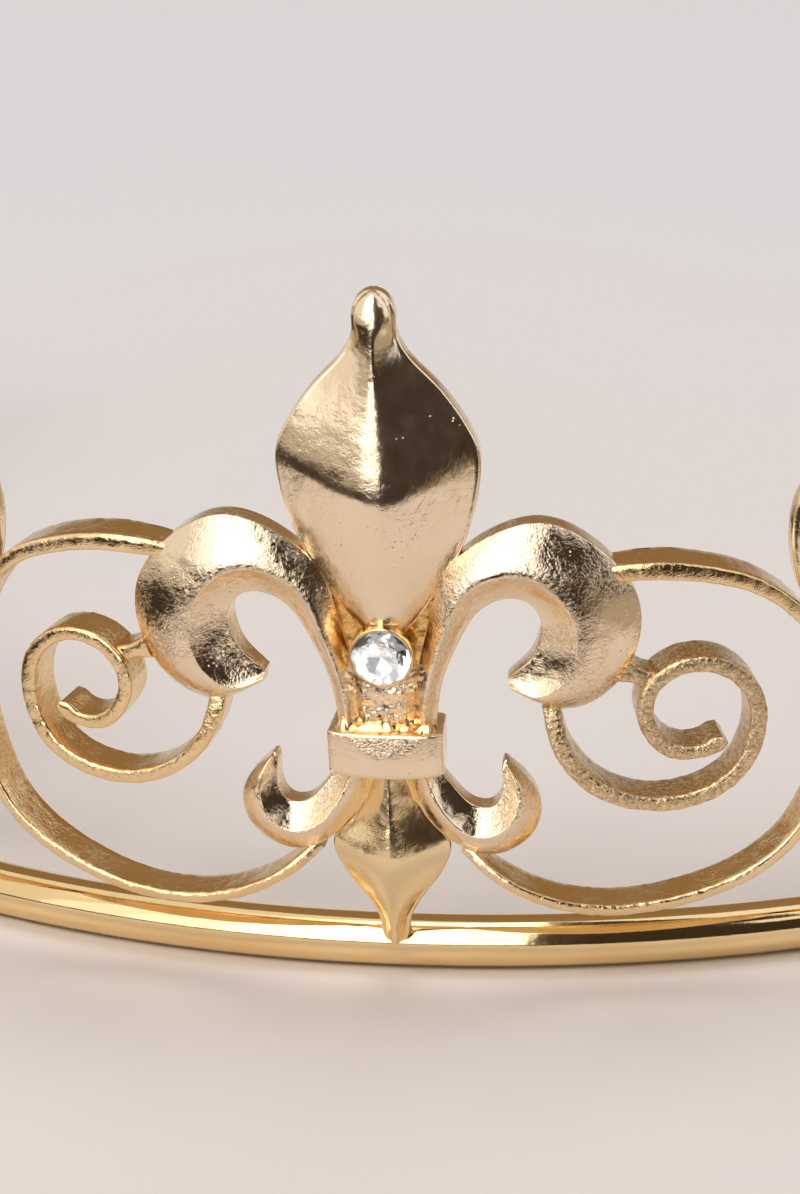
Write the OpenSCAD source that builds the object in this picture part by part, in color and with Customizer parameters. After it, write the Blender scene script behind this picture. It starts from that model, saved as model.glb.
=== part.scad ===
// Open-back crown: a round tube band that carries five fleur-de-lis and their scrolls.
// Millimetres. The band lies flat on z = 0, its centre is the origin, and the front faces -Y.
// Left and right are those of a person who looks at the front of the crown.

/* [Band] */
// Radius from the centre of the band to the centre line of its tube
band_r = 75; // [72:1:80]
// Outside diameter of the tube
band_d = 4; // [3.8:0.1:4.4]
// Bore of the tube
band_bore = 3; // [2.6:0.1:3.2]
// Length of bare tube past the last scroll
band_tail = 5; // [4:0.5:9]

/* [Ornament] */
// Outward lean of the ornaments in degrees
lean = 6; // [2:1:9]
// How far the scrolls stand in front of the ornament's face
strip_front = 1.9; // [1.6:0.1:2.1]
// How far the scrolls reach behind it
strip_back = 1.1; // [0.9:0.1:1.3]
// How far the petals reach behind it
petal_back = 0.6; // [0.5:0.1:0.9]
// Height of the centre of the leaf above its rim
leaf_rise = 4; // [3.4:0.1:4.2]
// Height of the centre of the foot leaf above its rim
foot_rise = 3.3; // [2.8:0.1:3.6]
// Height of the ridge of the side petals
petal_rise = 3; // [2.6:0.1:3.3]
// Height of the ridge of the small foot curls
curl_rise = 2.5; // [2.2:0.1:2.8]

/* [Collar] */
// Width of the collar that clasps the stems
collar_w = 8.1; // [7.9:0.1:8.6]
// Height of the collar
collar_h = 3.5; // [3.2:0.1:3.9]
// Wall of the collar
collar_wall = 0.5; // [0.4:0.05:0.6]

/* [Stone] */
// Diameter of the stone at its girdle
stone_d = 4.3; // [4:0.1:4.6]
// Height of the stone's centre up the ornament
stone_up = 27.3; // [27:0.1:27.8]

/* [Ends] */
// Diameter of the flat eyelet at each end of the band
eyelet_d = 5; // [4.5:0.1:6]
// Hole in the eyelet for a pin or ribbon
eyelet_hole = 2; // [1.6:0.1:2.6]

/* [Hidden] */
face_r = band_r + band_d / 2;
half_pitch = 32.25;
pitch = 2 * half_pitch / face_r * 180 / PI;
band_half = 2.5 * pitch + band_tail / band_r * 180 / PI;
core_w = collar_w - 2 * collar_wall - 0.1;
plating = [0.86, 0.72, 0.48];
plating_dark = [0.78, 0.62, 0.38];
crystal = [0.9, 0.93, 0.96];

// Outer scrolls, set by hand and so not quite alike: along, up, width.
scroll_left = [
    [14.3, 34, 1.2], [18.2, 34.6, 1.38], [22.5, 34.15, 1.3], [26.2, 32.7, 1.15],
    [29.4, 29.7, 1.05], [31.3, 25.5, 1], [31.75, 20.6, 1], [31.1, 15.7, 0.95],
    [29.1, 11.3, 0.9], [25, 8.2, 0.85], [20.4, 6.5, 0.85], [15.6, 6.05, 0.85],
    [11, 7.05, 0.85], [7.6, 8.95, 0.85], [5.3, 10.9, 0.85]
];
scroll_right = [
    [14.3, 33, 1.2], [18.2, 33.55, 1.38], [22.5, 33.05, 1.3], [26.2, 31.6, 1.15],
    [29.4, 28.6, 1.05], [31.3, 24.6, 1], [31.75, 19.9, 1], [31, 15.1, 0.95],
    [28.9, 11, 0.9], [25, 8.1, 0.9], [20.4, 6.65, 0.9], [15.6, 6.2, 0.9],
    [11, 7.15, 0.85], [7.6, 9, 0.85], [5.3, 10.9, 0.85]
];
// Inner spirals: along, up, width.
spiral_left = [
    [12, 23.1, 1.3], [12.75, 20.3, 1.15], [14.9, 17.45, 1.1], [18.1, 15.8, 1.1], [21.75, 15.75, 1.1],
    [25.05, 17.5, 1.1], [26.5, 20.8, 1.15], [25.9, 24.6, 1.15], [23.1, 26.75, 1.1], [20.3, 26.15, 1.1],
    [18.85, 23.8, 1.1], [19.4, 21.35, 1.1], [21.2, 19.85, 1.15], [23.3, 20.1, 1.2], [24, 20.6, 1]
];
spiral_right = [
    [11.6, 22.7, 1.35], [12.3, 19.5, 1.3], [14.4, 16.6, 1.25], [17.6, 15, 1.2], [21.2, 14.95, 1.2],
    [24.5, 16.7, 1.2], [26.05, 20, 1.2], [25.5, 23.7, 1.25], [22.6, 25.9, 1.25], [19.6, 25.3, 1.2],
    [18.1, 22.9, 1.2], [18.65, 20.45, 1.2], [20.5, 18.95, 1.2], [22.7, 19.1, 1.2], [23.5, 19.55, 1]
];
// The little webs between a side petal and its spiral.
stub_left = [[17, 26.3, 1.9], [18.1, 25.9, 1.2], [19.4, 25.3, 1.6]];
stub_right = [[16.6, 25.6, 2], [17.5, 25.1, 1.35], [18.6, 24.5, 1.8]];
// Side petal from its tip to the collar: outer edge, inner edge, place of the ridge, rise of the ridge.
petal_line = [
    [8.75, 24.1, 8.6, 25, 0.5, 0.52], [11.9, 22.5, 9.1, 25.5, 0.48, 0.74],
    [15.2, 23.5, 9.9, 26.3, 0.43, 0.9], [17.5, 27.2, 10.6, 27.5, 0.38, 0.97],
    [17.5, 31.6, 10.95, 29.1, 0.34, 1], [15, 35.2, 10.7, 30.3, 0.35, 1],
    [11, 37.35, 9.8, 31.25, 0.4, 0.93], [7.4, 36.3, 8.5, 31.4, 0.47, 0.84],
    [4.4, 33.4, 6.7, 30.4, 0.5, 0.74], [3.1, 29.2, 5.2, 27.8, 0.5, 0.68],
    [2.2, 25, 4, 24.6, 0.5, 0.6], [1.9, 21.1, 3.5, 21.1, 0.5, 0.55]
];
// Foot curl from the collar to its tip, with the same columns.
curl_line = [
    [1.4, 17.7, 3.4, 17.7, 0.5, 0.65], [2.1, 15, 4.7, 16, 0.5, 0.76],
    [3.9, 12.15, 6, 14.7, 0.5, 0.92], [6.6, 10.65, 7.3, 14.6, 0.45, 1],
    [9.5, 11.6, 8, 15.6, 0.42, 1], [10.85, 14.2, 8.1, 16.8, 0.42, 0.88],
    [9.7, 17, 8.1, 17.8, 0.45, 0.7], [8.5, 18.15, 8.25, 18.2, 0.5, 0.5]
];
// Leaf: half width, height at the rim, height at the centre, rise of the centre.
leaf_line = [
    [0.6, 26.6, 26.6, 0.35], [2.9, 30.1, 29.7, 0.5], [4.7, 33.2, 32.5, 0.63],
    [6, 36.4, 35.3, 0.77], [6.75, 39.4, 37.9, 0.89], [7, 42.3, 40.3, 1],
    [6.45, 44.3, 42.8, 0.88], [5.3, 46.4, 45.2, 0.75], [3.9, 48.3, 47.6, 0.62],
    [2.5, 49.9, 49.6, 0.54], [1.6, 51.6, 51.6, 0.475], [1.5, 52.9, 52.9, 0.44],
    [1.3, 54.1, 54.1, 0.38], [0.5, 55, 55, 0.2]
];
// Foot leaf, whose tip laps over the front of the tube.
foot_line = [
    [0.75, 3, 3, 0.36], [1.05, 3.8, 3.75, 0.42], [1.2, 4.9, 4.8, 0.48], [2.1, 6.7, 6.4, 0.57],
    [3.4, 8.6, 8, 0.69], [4.3, 11.2, 10.2, 0.9], [3.1, 13, 12.4, 0.76],
    [2, 15, 14.7, 0.58], [1.2, 17.6, 17.6, 0.4]
];
// Flat web that joins the leaves and stems from behind.
web_line = [
    [0, 9, 6.4], [0, 13, 8.4], [0, 16.5, 5.6], [0, 21, 5.4], [0, 26, 6.4], [0, 31, 8]
];
// Small leaf that stands between two scrolls.
bud_line = [
    [0.4, 24.4, 24.4, 0.4], [1.6, 27.6, 27.2, 0.55], [3, 30.6, 29.9, 0.7],
    [3.75, 33.8, 32.6, 0.85], [3.7, 36.8, 35.2, 0.98], [2.9, 39.2, 38.2, 0.86],
    [1.7, 41.4, 41, 0.72], [1, 43.2, 43.2, 0.6], [1, 44.6, 44.6, 0.6], [0.35, 45.6, 45.6, 0.4]
];

// Point on the leaning face: along the band, up, out.
function face(u, v, n) =
    let (a = u / face_r * 180 / PI, r = face_r + v * tan(lean) + n * cos(lean))
    [r * sin(a), -r * cos(a), v - n * sin(lean)];

// Smooth curve through a list of rows, k steps a row.
function blend(a, b, c, d, t) =
    0.5 * (2 * b + (c - a) * t + (2 * a - 5 * b + 4 * c - d) * t * t
        + (3 * b - a - 3 * c + d) * t * t * t);
function smooth(p, k) = let (m = len(p) - 1) [
    for (i = [0:m - 1], j = [0:k - 1])
        blend(p[max(i - 1, 0)], p[i], p[i + 1], p[min(i + 2, m)], j / k),
    p[m]
];

// Closed skin over a list of equal rings.
module skin(rings) {
    n = len(rings[0]);
    m = len(rings);
    points = [for (ring = rings) each ring];
    sides = [
        for (i = [0:m - 2], j = [0:n - 1])
            let (a = i * n + j, b = i * n + (j + 1) % n)
            each [[a, b, b + n], [a, b + n, a + n]]
    ];
    start = [for (j = [1:n - 2]) [0, j + 1, j]];
    end = [for (j = [1:n - 2]) (m - 1) * n * [1, 1, 1] + [0, j, j + 1]];
    polyhedron(points = points, faces = concat(start, sides, end));
}

// Strip of cast metal on edge, with a ridged front that sinks towards its start and its end.
module strip(line, k, front, back, edge = 0.35, sink = [0, 0]) {
    p = smooth(line, k);
    m = len(p) - 1;
    skin([
        for (i = [0:m])
            let (
                d = p[min(i + 1, m)] - p[max(i - 1, 0)],
                s = [-d[1], d[0]] / norm([d[0], d[1]]) * p[i][2] / 2,
                low = [for (j = [i, m - i]) pow(max(0, 1 - j / (1.2 * k)), 2)],
                f = front - sink * low
            )
            [
                for (q = [[-1, -back], [-1, f - edge], [0, f], [1, f - edge], [1, -back]])
                    face(p[i][0] + q[0] * s[0], p[i][1] + q[0] * s[1], q[1])
            ]
    ]);
}

// Crescent with a domed outer side and a flat inner bevel.
module crescent(line, k, rise) {
    skin([
        for (q = smooth(line, k))
            let (
                o = [q[0], q[1]],
                c = [q[2], q[3]],
                r = c + (o - c) * q[4],
                m = (o + r) / 2,
                top = rise * q[5]
            )
            [
                face(o[0], o[1], -petal_back), face(o[0], o[1], 0.42 * top),
                face(m[0], m[1], 0.86 * top), face(r[0], r[1], top),
                face(c[0], c[1], 0.45 * top), face(c[0], c[1], -petal_back)
            ]
    ]);
}

// Four-facet leaf: each ring is bent in a chevron at its centre.
module facet_leaf(line, rise, back) {
    skin([
        for (q = line)
            let (h = q[0], low = q[1], mid = q[2], top = rise * q[3], rim = 0.26 * rise * min(1, q[3] * 1.5))
            [
                face(h, low, -back), face(h, low, rim),
                face(h / 2, (low + mid) / 2, rim + (top - rim) * 0.44), face(0, mid, top),
                face(-h / 2, (low + mid) / 2, rim + (top - rim) * 0.44),
                face(-h, low, rim), face(-h, low, -back)
            ]
    ]);
}

module pair() {
    children();
    mirror([1, 0, 0]) children();
}

// Places its children on station i, counted from the front one.
module station(i) rotate([0, 0, i * pitch]) children();

// Places its children on the leaning face at height up, with Z along the face's normal.
module on_face(up, out = 0)
    translate(face(0, up, out)) rotate([90 + lean, 0, 0]) children();

module fleur() {
    color(plating) resize([0, 0, 0]) union() {
        facet_leaf(leaf_line, leaf_rise, 0.6);
        facet_leaf(foot_line, foot_rise, 0.3);
        pair() crescent(petal_line, 2, petal_rise);
        pair() crescent(curl_line, 2, curl_rise);
        strip(web_line, 1, 0.5, 0.7, 0.1);
        strip([[0, 17, 4], [0, 21, 4], [0, 25.6, 4.4]], 1, 1.5, 0.5, 0.5);
        strip([[0, 17.8, core_w], [0, 20.6, core_w]], 1, 1.65, 0.85, 0.1);
    }
}

module collar() {
    color(plating_dark) on_face(17.7) translate([0, 0, -1.4]) rotate([-90, 0, 0]) mirror([0, 1, 0])
        difference() {
            linear_extrude(height = collar_h, convexity = 4) difference() {
                collar_outline();
                translate([-core_w / 2 - 0.05, collar_wall]) square([core_w + 0.1, 3.15 - collar_wall]);
            }
            translate([-collar_w, 4.15, collar_h]) rotate([-79, 0, 0]) cube([2 * collar_w, 6, 4]);
        }
}

// Outline of the collar: flat back, bulged front.
module collar_outline() intersection() {
    translate([-collar_w / 2, 0]) square([collar_w, 6]);
    translate([0, -6.1]) circle(r = 10.6, $fn = 96);
}

module stone_cup() {
    color(plating_dark) on_face(stone_up, 1.2) difference() {
        cylinder(h = 1.5, d = stone_d + 0.5, $fn = 48);
        translate([0, 0, 0.3]) cylinder(h = 2, d = stone_d + 0.02, $fn = 48);
    }
}

module stone() {
    color(crystal) on_face(stone_up, 1.5) {
        cylinder(h = 0.9, d1 = 1.2, d2 = stone_d, $fn = 48);
        translate([0, 0, 0.9]) cylinder(h = 0.25, d = stone_d, $fn = 48);
        translate([0, 0, 1.15]) cylinder(h = 0.6, d1 = stone_d, d2 = stone_d * 0.6, $fn = 48);
    }
}

module scroll(line) color(plating) strip(line, 2, strip_front, strip_back, sink = [0.9, 1.3]);

module spiral(line, stub) {
    color(plating) resize([0, 0, 0]) union() {
        strip(line, 2, strip_front, strip_back, sink = [0.8, 0]);
        strip(stub, 1, 1.5, 0.8, 0.3);
    }
}

module left_scroll() mirror([1, 0, 0]) scroll(scroll_left);
module right_scroll() scroll(scroll_right);
module left_spiral() mirror([1, 0, 0]) spiral(spiral_left, stub_left);
module right_spiral() spiral(spiral_right, stub_right);

module bud() color(plating) facet_leaf(bud_line, 2.6, 0.6);

module band() {
    color(plating) rotate([0, 0, -90 - band_half]) rotate_extrude(angle = 2 * band_half, $fn = 180)
        translate([band_r, band_d / 2]) difference() {
            circle(d = band_d, $fn = 48);
            circle(d = band_bore, $fn = 48);
        }
}

// Flat eyelet on a short spigot that plugs the end of the tube.
module band_end() {
    reach = eyelet_d / 2 + 1.2;
    color(plating_dark) rotate([0, 0, band_half]) translate([0, -band_r, band_d / 2]) {
        rotate([0, -90, 0]) cylinder(h = 4, d = band_bore, $fn = 48);
        rotate([0, 90, 0]) cylinder(h = 1.5, d = band_d, $fn = 48);
        rotate([90, 0, 0]) translate([0, 0, -0.8]) difference() {
            union() {
                translate([reach, 0, 0]) cylinder(h = 1.6, d = eyelet_d, $fn = 48);
                translate([0.5, -1.3, 0]) cube([reach - 0.5, 2.6, 1.6]);
            }
            translate([reach, 0, -1]) cylinder(h = 4, d = eyelet_hole, $fn = 48);
        }
    }
}

// Beads of solder that hold the foot leaves to the tube.
module solder() {
    color(plating_dark) difference() {
        for (i = [-2:2]) station(i) translate(face(0, 4.15, -0.75)) sphere(r = 0.95, $fn = 32);
        rotate_extrude($fn = 180) translate([band_r, band_d / 2]) circle(d = band_d, $fn = 48);
    }
}

band();
mirror([1, 0, 0]) band_end();  // band_end_left
band_end();  // band_end_right
solder();  // solder_beads
station(0) fleur();  // fleur_front
station(-1) fleur();  // fleur_left
station(1) fleur();  // fleur_right
station(-2) fleur();  // fleur_far_left
station(2) fleur();  // fleur_far_right
station(0) collar();  // collar_front
station(-1) collar();  // collar_left
station(1) collar();  // collar_right
station(-2) collar();  // collar_far_left
station(2) collar();  // collar_far_right
station(0) stone_cup();  // stone_cup_front
station(-1) stone_cup();  // stone_cup_left
station(1) stone_cup();  // stone_cup_right
station(-2) stone_cup();  // stone_cup_far_left
station(2) stone_cup();  // stone_cup_far_right
station(0) stone();  // stone_front
station(-1) stone();  // stone_left
station(1) stone();  // stone_right
station(-2) stone();  // stone_far_left
station(2) stone();  // stone_far_right
station(0) left_scroll();  // scroll_front_a
station(0) right_scroll();  // scroll_front_b
station(-1) left_scroll();  // scroll_left_a
station(-1) right_scroll();  // scroll_left_b
station(1) left_scroll();  // scroll_right_a
station(1) right_scroll();  // scroll_right_b
station(-2) left_scroll();  // scroll_far_left_a
station(-2) right_scroll();  // scroll_far_left_b
station(2) left_scroll();  // scroll_far_right_a
station(2) right_scroll();  // scroll_far_right_b
station(0) left_spiral();  // spiral_front_a
station(0) right_spiral();  // spiral_front_b
station(-1) left_spiral();  // spiral_left_a
station(-1) right_spiral();  // spiral_left_b
station(1) left_spiral();  // spiral_right_a
station(1) right_spiral();  // spiral_right_b
station(-2) left_spiral();  // spiral_far_left_a
station(-2) right_spiral();  // spiral_far_left_b
station(2) left_spiral();  // spiral_far_right_a
station(2) right_spiral();  // spiral_far_right_b
station(-0.5) bud();  // bud_front_left
station(0.5) bud();  // bud_front_right
station(-1.5) bud();  // bud_side_left
station(1.5) bud();  // bud_side_right
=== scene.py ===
import math

import bpy
import numpy as np
from mathutils import Matrix, Vector


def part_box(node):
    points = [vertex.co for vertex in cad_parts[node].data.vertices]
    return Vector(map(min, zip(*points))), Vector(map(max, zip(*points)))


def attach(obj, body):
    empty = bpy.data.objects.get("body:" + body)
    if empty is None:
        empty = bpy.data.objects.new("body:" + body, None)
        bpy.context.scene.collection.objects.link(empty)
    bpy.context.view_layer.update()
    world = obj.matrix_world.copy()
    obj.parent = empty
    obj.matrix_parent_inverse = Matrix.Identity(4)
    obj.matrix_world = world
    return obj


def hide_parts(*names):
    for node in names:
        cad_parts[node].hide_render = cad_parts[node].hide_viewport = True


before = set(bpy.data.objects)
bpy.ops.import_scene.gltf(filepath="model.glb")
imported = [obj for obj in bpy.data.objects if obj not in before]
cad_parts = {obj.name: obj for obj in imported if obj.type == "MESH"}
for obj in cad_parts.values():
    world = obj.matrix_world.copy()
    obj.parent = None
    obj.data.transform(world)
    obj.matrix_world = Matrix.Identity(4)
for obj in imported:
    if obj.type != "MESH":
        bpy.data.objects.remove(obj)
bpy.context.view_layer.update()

MM = 0.001
band_low, band_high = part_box("band")
FACE_R = band_high[0] / MM          # outside radius of the band
TUBE_R = (band_high[2] - band_low[2]) / 2 / MM
BAND_R = FACE_R - TUBE_R
LEAN = math.radians(6)              # the ornaments lean outward
HALF_PITCH = 32.25                  # along the band, from a fleur to the next small leaf
PITCH = 2 * HALF_PITCH / FACE_R     # radians between fleurs
TAIL = 5                            # tube past the outermost scrolls
BAND_HALF = 2.5 * PITCH + TAIL / BAND_R
STRIP_FRONT, STRIP_BACK, PETAL_BACK = 1.9, 1.1, 0.6
SINK_LENGTH = 5                     # a strip's end sinks over this length
LEAF_RISE, FOOT_RISE, BUD_RISE, PETAL_RISE, CURL_RISE = 4.0, 3.3, 2.6, 3.0, 2.5
FOOT_BACK = 0.3
HASH_AXES = np.array([73856093, 19349663, 83492791])
HASH_SEED, HASH_MIX, HASH_MASK, HASH_TOP, SEED_SHIFT = 2654435761, 1274126177, 0x7FFFFFFF, 0xFFFF, 17.31
BEAD_SEED = 80
FACETED = 5                         # degrees past which a cut stone's edge stays sharp
STATIONS = {"front": 0, "left": -1, "right": 1, "far_left": -2, "far_right": 2}


# ---------------------------------------------------------------- shape helpers
def face(u, v, n):
    """Point on the leaning face: along the band, up, out (mm)."""
    u, v, n = np.broadcast_arrays(*[np.asarray(q, float) for q in (u, v, n)])
    a = u / FACE_R
    r = FACE_R + v * math.tan(LEAN) + n * math.cos(LEAN)
    return np.stack([r * np.sin(a), -r * np.cos(a), v - n * math.sin(LEAN)], -1)


def spline(rows, count, key=None):
    """Natural cubic through the rows, spaced evenly along the first two columns or along key(rows)."""
    p = np.asarray(rows, float)
    base = p[:, :2] if key is None else key(p)
    t = np.concatenate([[0], np.cumsum(np.linalg.norm(np.diff(base, axis=0), axis=1))])
    h = np.diff(t)
    m = len(p)
    a = np.zeros((m, m))
    b = np.zeros_like(p)
    a[0, 0] = a[-1, -1] = 1
    for i in range(1, m - 1):
        a[i, i - 1 : i + 2] = h[i - 1], 2 * (h[i - 1] + h[i]), h[i]
        b[i] = 6 * ((p[i + 1] - p[i]) / h[i] - (p[i] - p[i - 1]) / h[i - 1])
    c = np.linalg.solve(a, b)
    x = np.linspace(0, t[-1], count)
    i = np.clip(np.searchsorted(t, x) - 1, 0, m - 2)
    d, e, hh = (x - t[i])[:, None], (t[i + 1] - x)[:, None], h[i][:, None]
    return (
        c[i] * e**3 / (6 * hh) + c[i + 1] * d**3 / (6 * hh)
        + (p[i] / hh - c[i] * hh / 6) * e + (p[i + 1] / hh - c[i + 1] * hh / 6) * d
    )


def noise(p, size, seed):
    """Smooth value noise from -1 to 1 at points p (mm)."""
    q = np.asarray(p, float) / size + seed * SEED_SHIFT
    cell = np.floor(q).astype(np.int64)
    f = q - cell
    f = f * f * (3 - 2 * f)
    out = np.zeros(q.shape[:-1])
    for corner in range(8):
        o = np.array([corner & 1, corner >> 1 & 1, corner >> 2 & 1])
        k = (cell + o) * HASH_AXES
        k = k[..., 0] ^ k[..., 1] ^ k[..., 2] ^ (seed * HASH_SEED & HASH_MASK)
        k = (k ^ (k >> 13)) * HASH_MIX & HASH_MASK
        k = (k ^ (k >> 16)) & HASH_TOP
        w = np.prod(np.where(o, f, 1 - f), axis=-1)
        out += w * (k / (HASH_TOP / 2) - 1)
    return out


def smooth_step(x):
    """Smooth rise from 0 to 1 as x goes from 0 to 1."""
    x = np.clip(x, 0, 1)
    return x * x * (3 - 2 * x)


def turn(points, angle):
    """Points turned about the crown's upright axis."""
    c, s = math.cos(angle), math.sin(angle)
    return np.asarray(points) @ np.array([[c, s, 0], [-s, c, 0], [0, 0, 1]])


class Shell:
    """Vertices and faces of one closed skin or several."""

    def __init__(self):
        self.v, self.f, self.n = [], [], 0

    def loft(self, rings, closed=False):
        """Skin over rings (m, k, 3); the ends are capped, or joined when closed."""
        rings = np.asarray(rings)
        m, k = rings.shape[:2]
        self.v.append(rings.reshape(-1, 3))
        for i in range(m if closed else m - 1):
            a, b = self.n + i * k, self.n + (i + 1) % m * k
            self.f += [(a + j, a + (j + 1) % k, b + (j + 1) % k, b + j) for j in range(k)]
        if not closed:
            self.f.append(tuple(range(self.n + k - 1, self.n - 1, -1)))
            self.f.append(tuple(range(self.n + (m - 1) * k, self.n + m * k)))
        self.n += m * k
        return self

    def add(self, other):
        self.v += other.v
        self.f += [tuple(i + self.n for i in q) for q in other.f]
        self.n += other.n
        return self

    def mirrored(self):
        """Copy with left and right swapped."""
        s = Shell()
        s.v = [np.concatenate(self.v) * np.array([-1, 1, 1])]
        s.f = [q[::-1] for q in self.f]
        s.n = self.n
        return s


def build(name, shell, material, nodes, angle=0.0, sharp=50):
    """Object from a shell in mm, turned to its place, with edges sharper than sharp (degrees) kept."""
    mesh = bpy.data.meshes.new(name)
    pts = turn(np.concatenate(shell.v), angle) * MM
    mesh.from_pydata(pts.tolist(), [], shell.f)
    mesh.validate()
    mesh.shade_smooth()
    mesh.set_sharp_from_angle(angle=math.radians(sharp))
    obj = bpy.data.objects.new(name, mesh)
    bpy.context.scene.collection.objects.link(obj)
    mesh.materials.append(material)
    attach(obj, "root")
    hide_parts(*nodes)
    return obj


def outward(shell):
    """Faces turned so that the skin's volume is positive."""
    p = np.concatenate(shell.v)
    vol = 0.0
    for q in shell.f:
        a = p[q[0]]
        for i in range(1, len(q) - 1):
            vol += np.dot(a, np.cross(p[q[i]], p[q[i + 1]]))
    if vol < 0:
        shell.f = [q[::-1] for q in shell.f]
    return shell


def arc(u, n, r, start, end, count=5):
    """Rounded corner in a section: centre, radius, degrees."""
    t = np.radians(np.linspace(start, end, count))
    return [(u + r * math.cos(q), n + r * math.sin(q)) for q in t]


# ---------------------------------------------------------------- outlines (mm), as in the CAD model
# Strips: along the band, up, width.
SCROLL_LEFT = [
    [14.3, 34, 1.2], [18.2, 34.6, 1.38], [22.5, 34.15, 1.3], [26.2, 32.7, 1.15],
    [29.4, 29.7, 1.05], [31.3, 25.5, 1], [31.75, 20.6, 1], [31.1, 15.7, 0.95],
    [29.1, 11.3, 0.9], [25, 8.2, 0.85], [20.4, 6.5, 0.85], [15.6, 6.05, 0.85],
    [11, 7.05, 0.85], [7.6, 8.95, 0.85], [5.3, 10.9, 0.85],
]
SCROLL_RIGHT = [
    [14.3, 33, 1.2], [18.2, 33.55, 1.38], [22.5, 33.05, 1.3], [26.2, 31.6, 1.15],
    [29.4, 28.6, 1.05], [31.3, 24.6, 1], [31.75, 19.9, 1], [31, 15.1, 0.95],
    [28.9, 11, 0.9], [25, 8.1, 0.9], [20.4, 6.65, 0.9], [15.6, 6.2, 0.9],
    [11, 7.15, 0.85], [7.6, 9, 0.85], [5.3, 10.9, 0.85],
]
SPIRAL_LEFT = [
    [12, 23.1, 1.3], [12.75, 20.3, 1.15], [14.9, 17.45, 1.1], [18.1, 15.8, 1.1], [21.75, 15.75, 1.1],
    [25.05, 17.5, 1.1], [26.5, 20.8, 1.15], [25.9, 24.6, 1.15], [23.1, 26.75, 1.1], [20.3, 26.15, 1.1],
    [18.85, 23.8, 1.1], [19.4, 21.35, 1.1], [21.2, 19.85, 1.15], [23.3, 20.1, 1.2], [24, 20.6, 1.1],
    [24.25, 20.8, 0.7],
]
SPIRAL_RIGHT = [
    [11.6, 22.7, 1.35], [12.3, 19.5, 1.3], [14.4, 16.6, 1.25], [17.6, 15, 1.2], [21.2, 14.95, 1.2],
    [24.5, 16.7, 1.2], [26.05, 20, 1.2], [25.5, 23.7, 1.25], [22.6, 25.9, 1.25], [19.6, 25.3, 1.2],
    [18.1, 22.9, 1.2], [18.65, 20.45, 1.2], [20.5, 18.95, 1.2], [22.7, 19.1, 1.2], [23.5, 19.55, 1.1],
    [23.75, 19.75, 0.7],
]
STUB_LEFT = [[17, 26.3, 1.9], [18.1, 25.9, 1.2], [19.4, 25.3, 1.6]]
STUB_RIGHT = [[16.6, 25.6, 2], [17.5, 25.1, 1.35], [18.6, 24.5, 1.8]]
# Petals and curls: outer edge, inner edge, place of the ridge between them, share of the rise.
PETAL = [
    [8.75, 24.1, 8.6, 25, 0.5, 0.52], [11.9, 22.5, 9.1, 25.5, 0.48, 0.74],
    [15.2, 23.5, 9.9, 26.3, 0.43, 0.9], [17.5, 27.2, 10.6, 27.5, 0.38, 0.97],
    [17.5, 31.6, 10.95, 29.1, 0.34, 1], [15, 35.2, 10.7, 30.3, 0.35, 1],
    [11, 37.35, 9.8, 31.25, 0.4, 0.93], [7.4, 36.3, 8.5, 31.4, 0.47, 0.84],
    [4.4, 33.4, 6.7, 30.4, 0.5, 0.74], [3.1, 29.2, 5.2, 27.8, 0.5, 0.68],
    [2.2, 25, 4, 24.6, 0.5, 0.6], [1.9, 21.1, 3.5, 21.1, 0.5, 0.55],
]
CURL = [
    [1.4, 17.7, 3.4, 17.7, 0.5, 0.65], [2.1, 15, 4.7, 16, 0.5, 0.76],
    [3.9, 12.15, 6, 14.7, 0.5, 0.92], [6.6, 10.65, 7.3, 14.6, 0.45, 1],
    [9.5, 11.6, 8, 15.6, 0.42, 1], [10.85, 14.2, 8.1, 16.8, 0.42, 0.88],
    [9.7, 17, 8.1, 17.8, 0.45, 0.7], [8.5, 18.15, 8.25, 18.2, 0.5, 0.5],
]
# Leaves: half width, height at the edge, height at the ridge, share of the rise.
LEAF = [
    [0.6, 26.6, 26.6, 0.35], [2.9, 30.1, 29.7, 0.5], [4.7, 33.2, 32.5, 0.63],
    [6, 36.4, 35.3, 0.77], [6.75, 39.4, 37.9, 0.89], [7, 42.3, 40.3, 1],
    [6.45, 44.3, 42.8, 0.88], [5.3, 46.4, 45.2, 0.75], [3.9, 48.3, 47.6, 0.62],
    [2.5, 49.9, 49.6, 0.54], [1.6, 51.6, 51.6, 0.475], [1.5, 52.8, 52.8, 0.44],
    [1.45, 53.5, 53.5, 0.41], [1.3, 54.1, 54.1, 0.35], [1, 54.6, 54.6, 0.26],
    [0.6, 54.9, 54.9, 0.14], [0.2, 55.05, 55.05, 0.03],
]
FOOT = [
    [0.75, 3, 3, 0.4], [1.05, 3.8, 3.75, 0.43], [1.2, 4.9, 4.8, 0.48], [2.1, 6.7, 6.4, 0.57],
    [3.4, 8.6, 8, 0.69], [4.3, 11.2, 10.2, 0.9], [3.1, 13, 12.4, 0.76],
    [2, 15, 14.7, 0.58], [1.2, 17.6, 17.6, 0.4],
]
BUD = [
    [0.4, 24.4, 24.4, 0.4], [1.6, 27.6, 27.2, 0.55], [3, 30.6, 29.9, 0.7],
    [3.75, 33.8, 32.6, 0.85], [3.7, 36.8, 35.2, 0.98], [2.9, 39.2, 38.2, 0.86],
    [1.7, 41.4, 41, 0.72], [1, 43.2, 43.2, 0.6], [1, 44.6, 44.6, 0.6], [0.35, 45.6, 45.6, 0.4],
]


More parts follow.
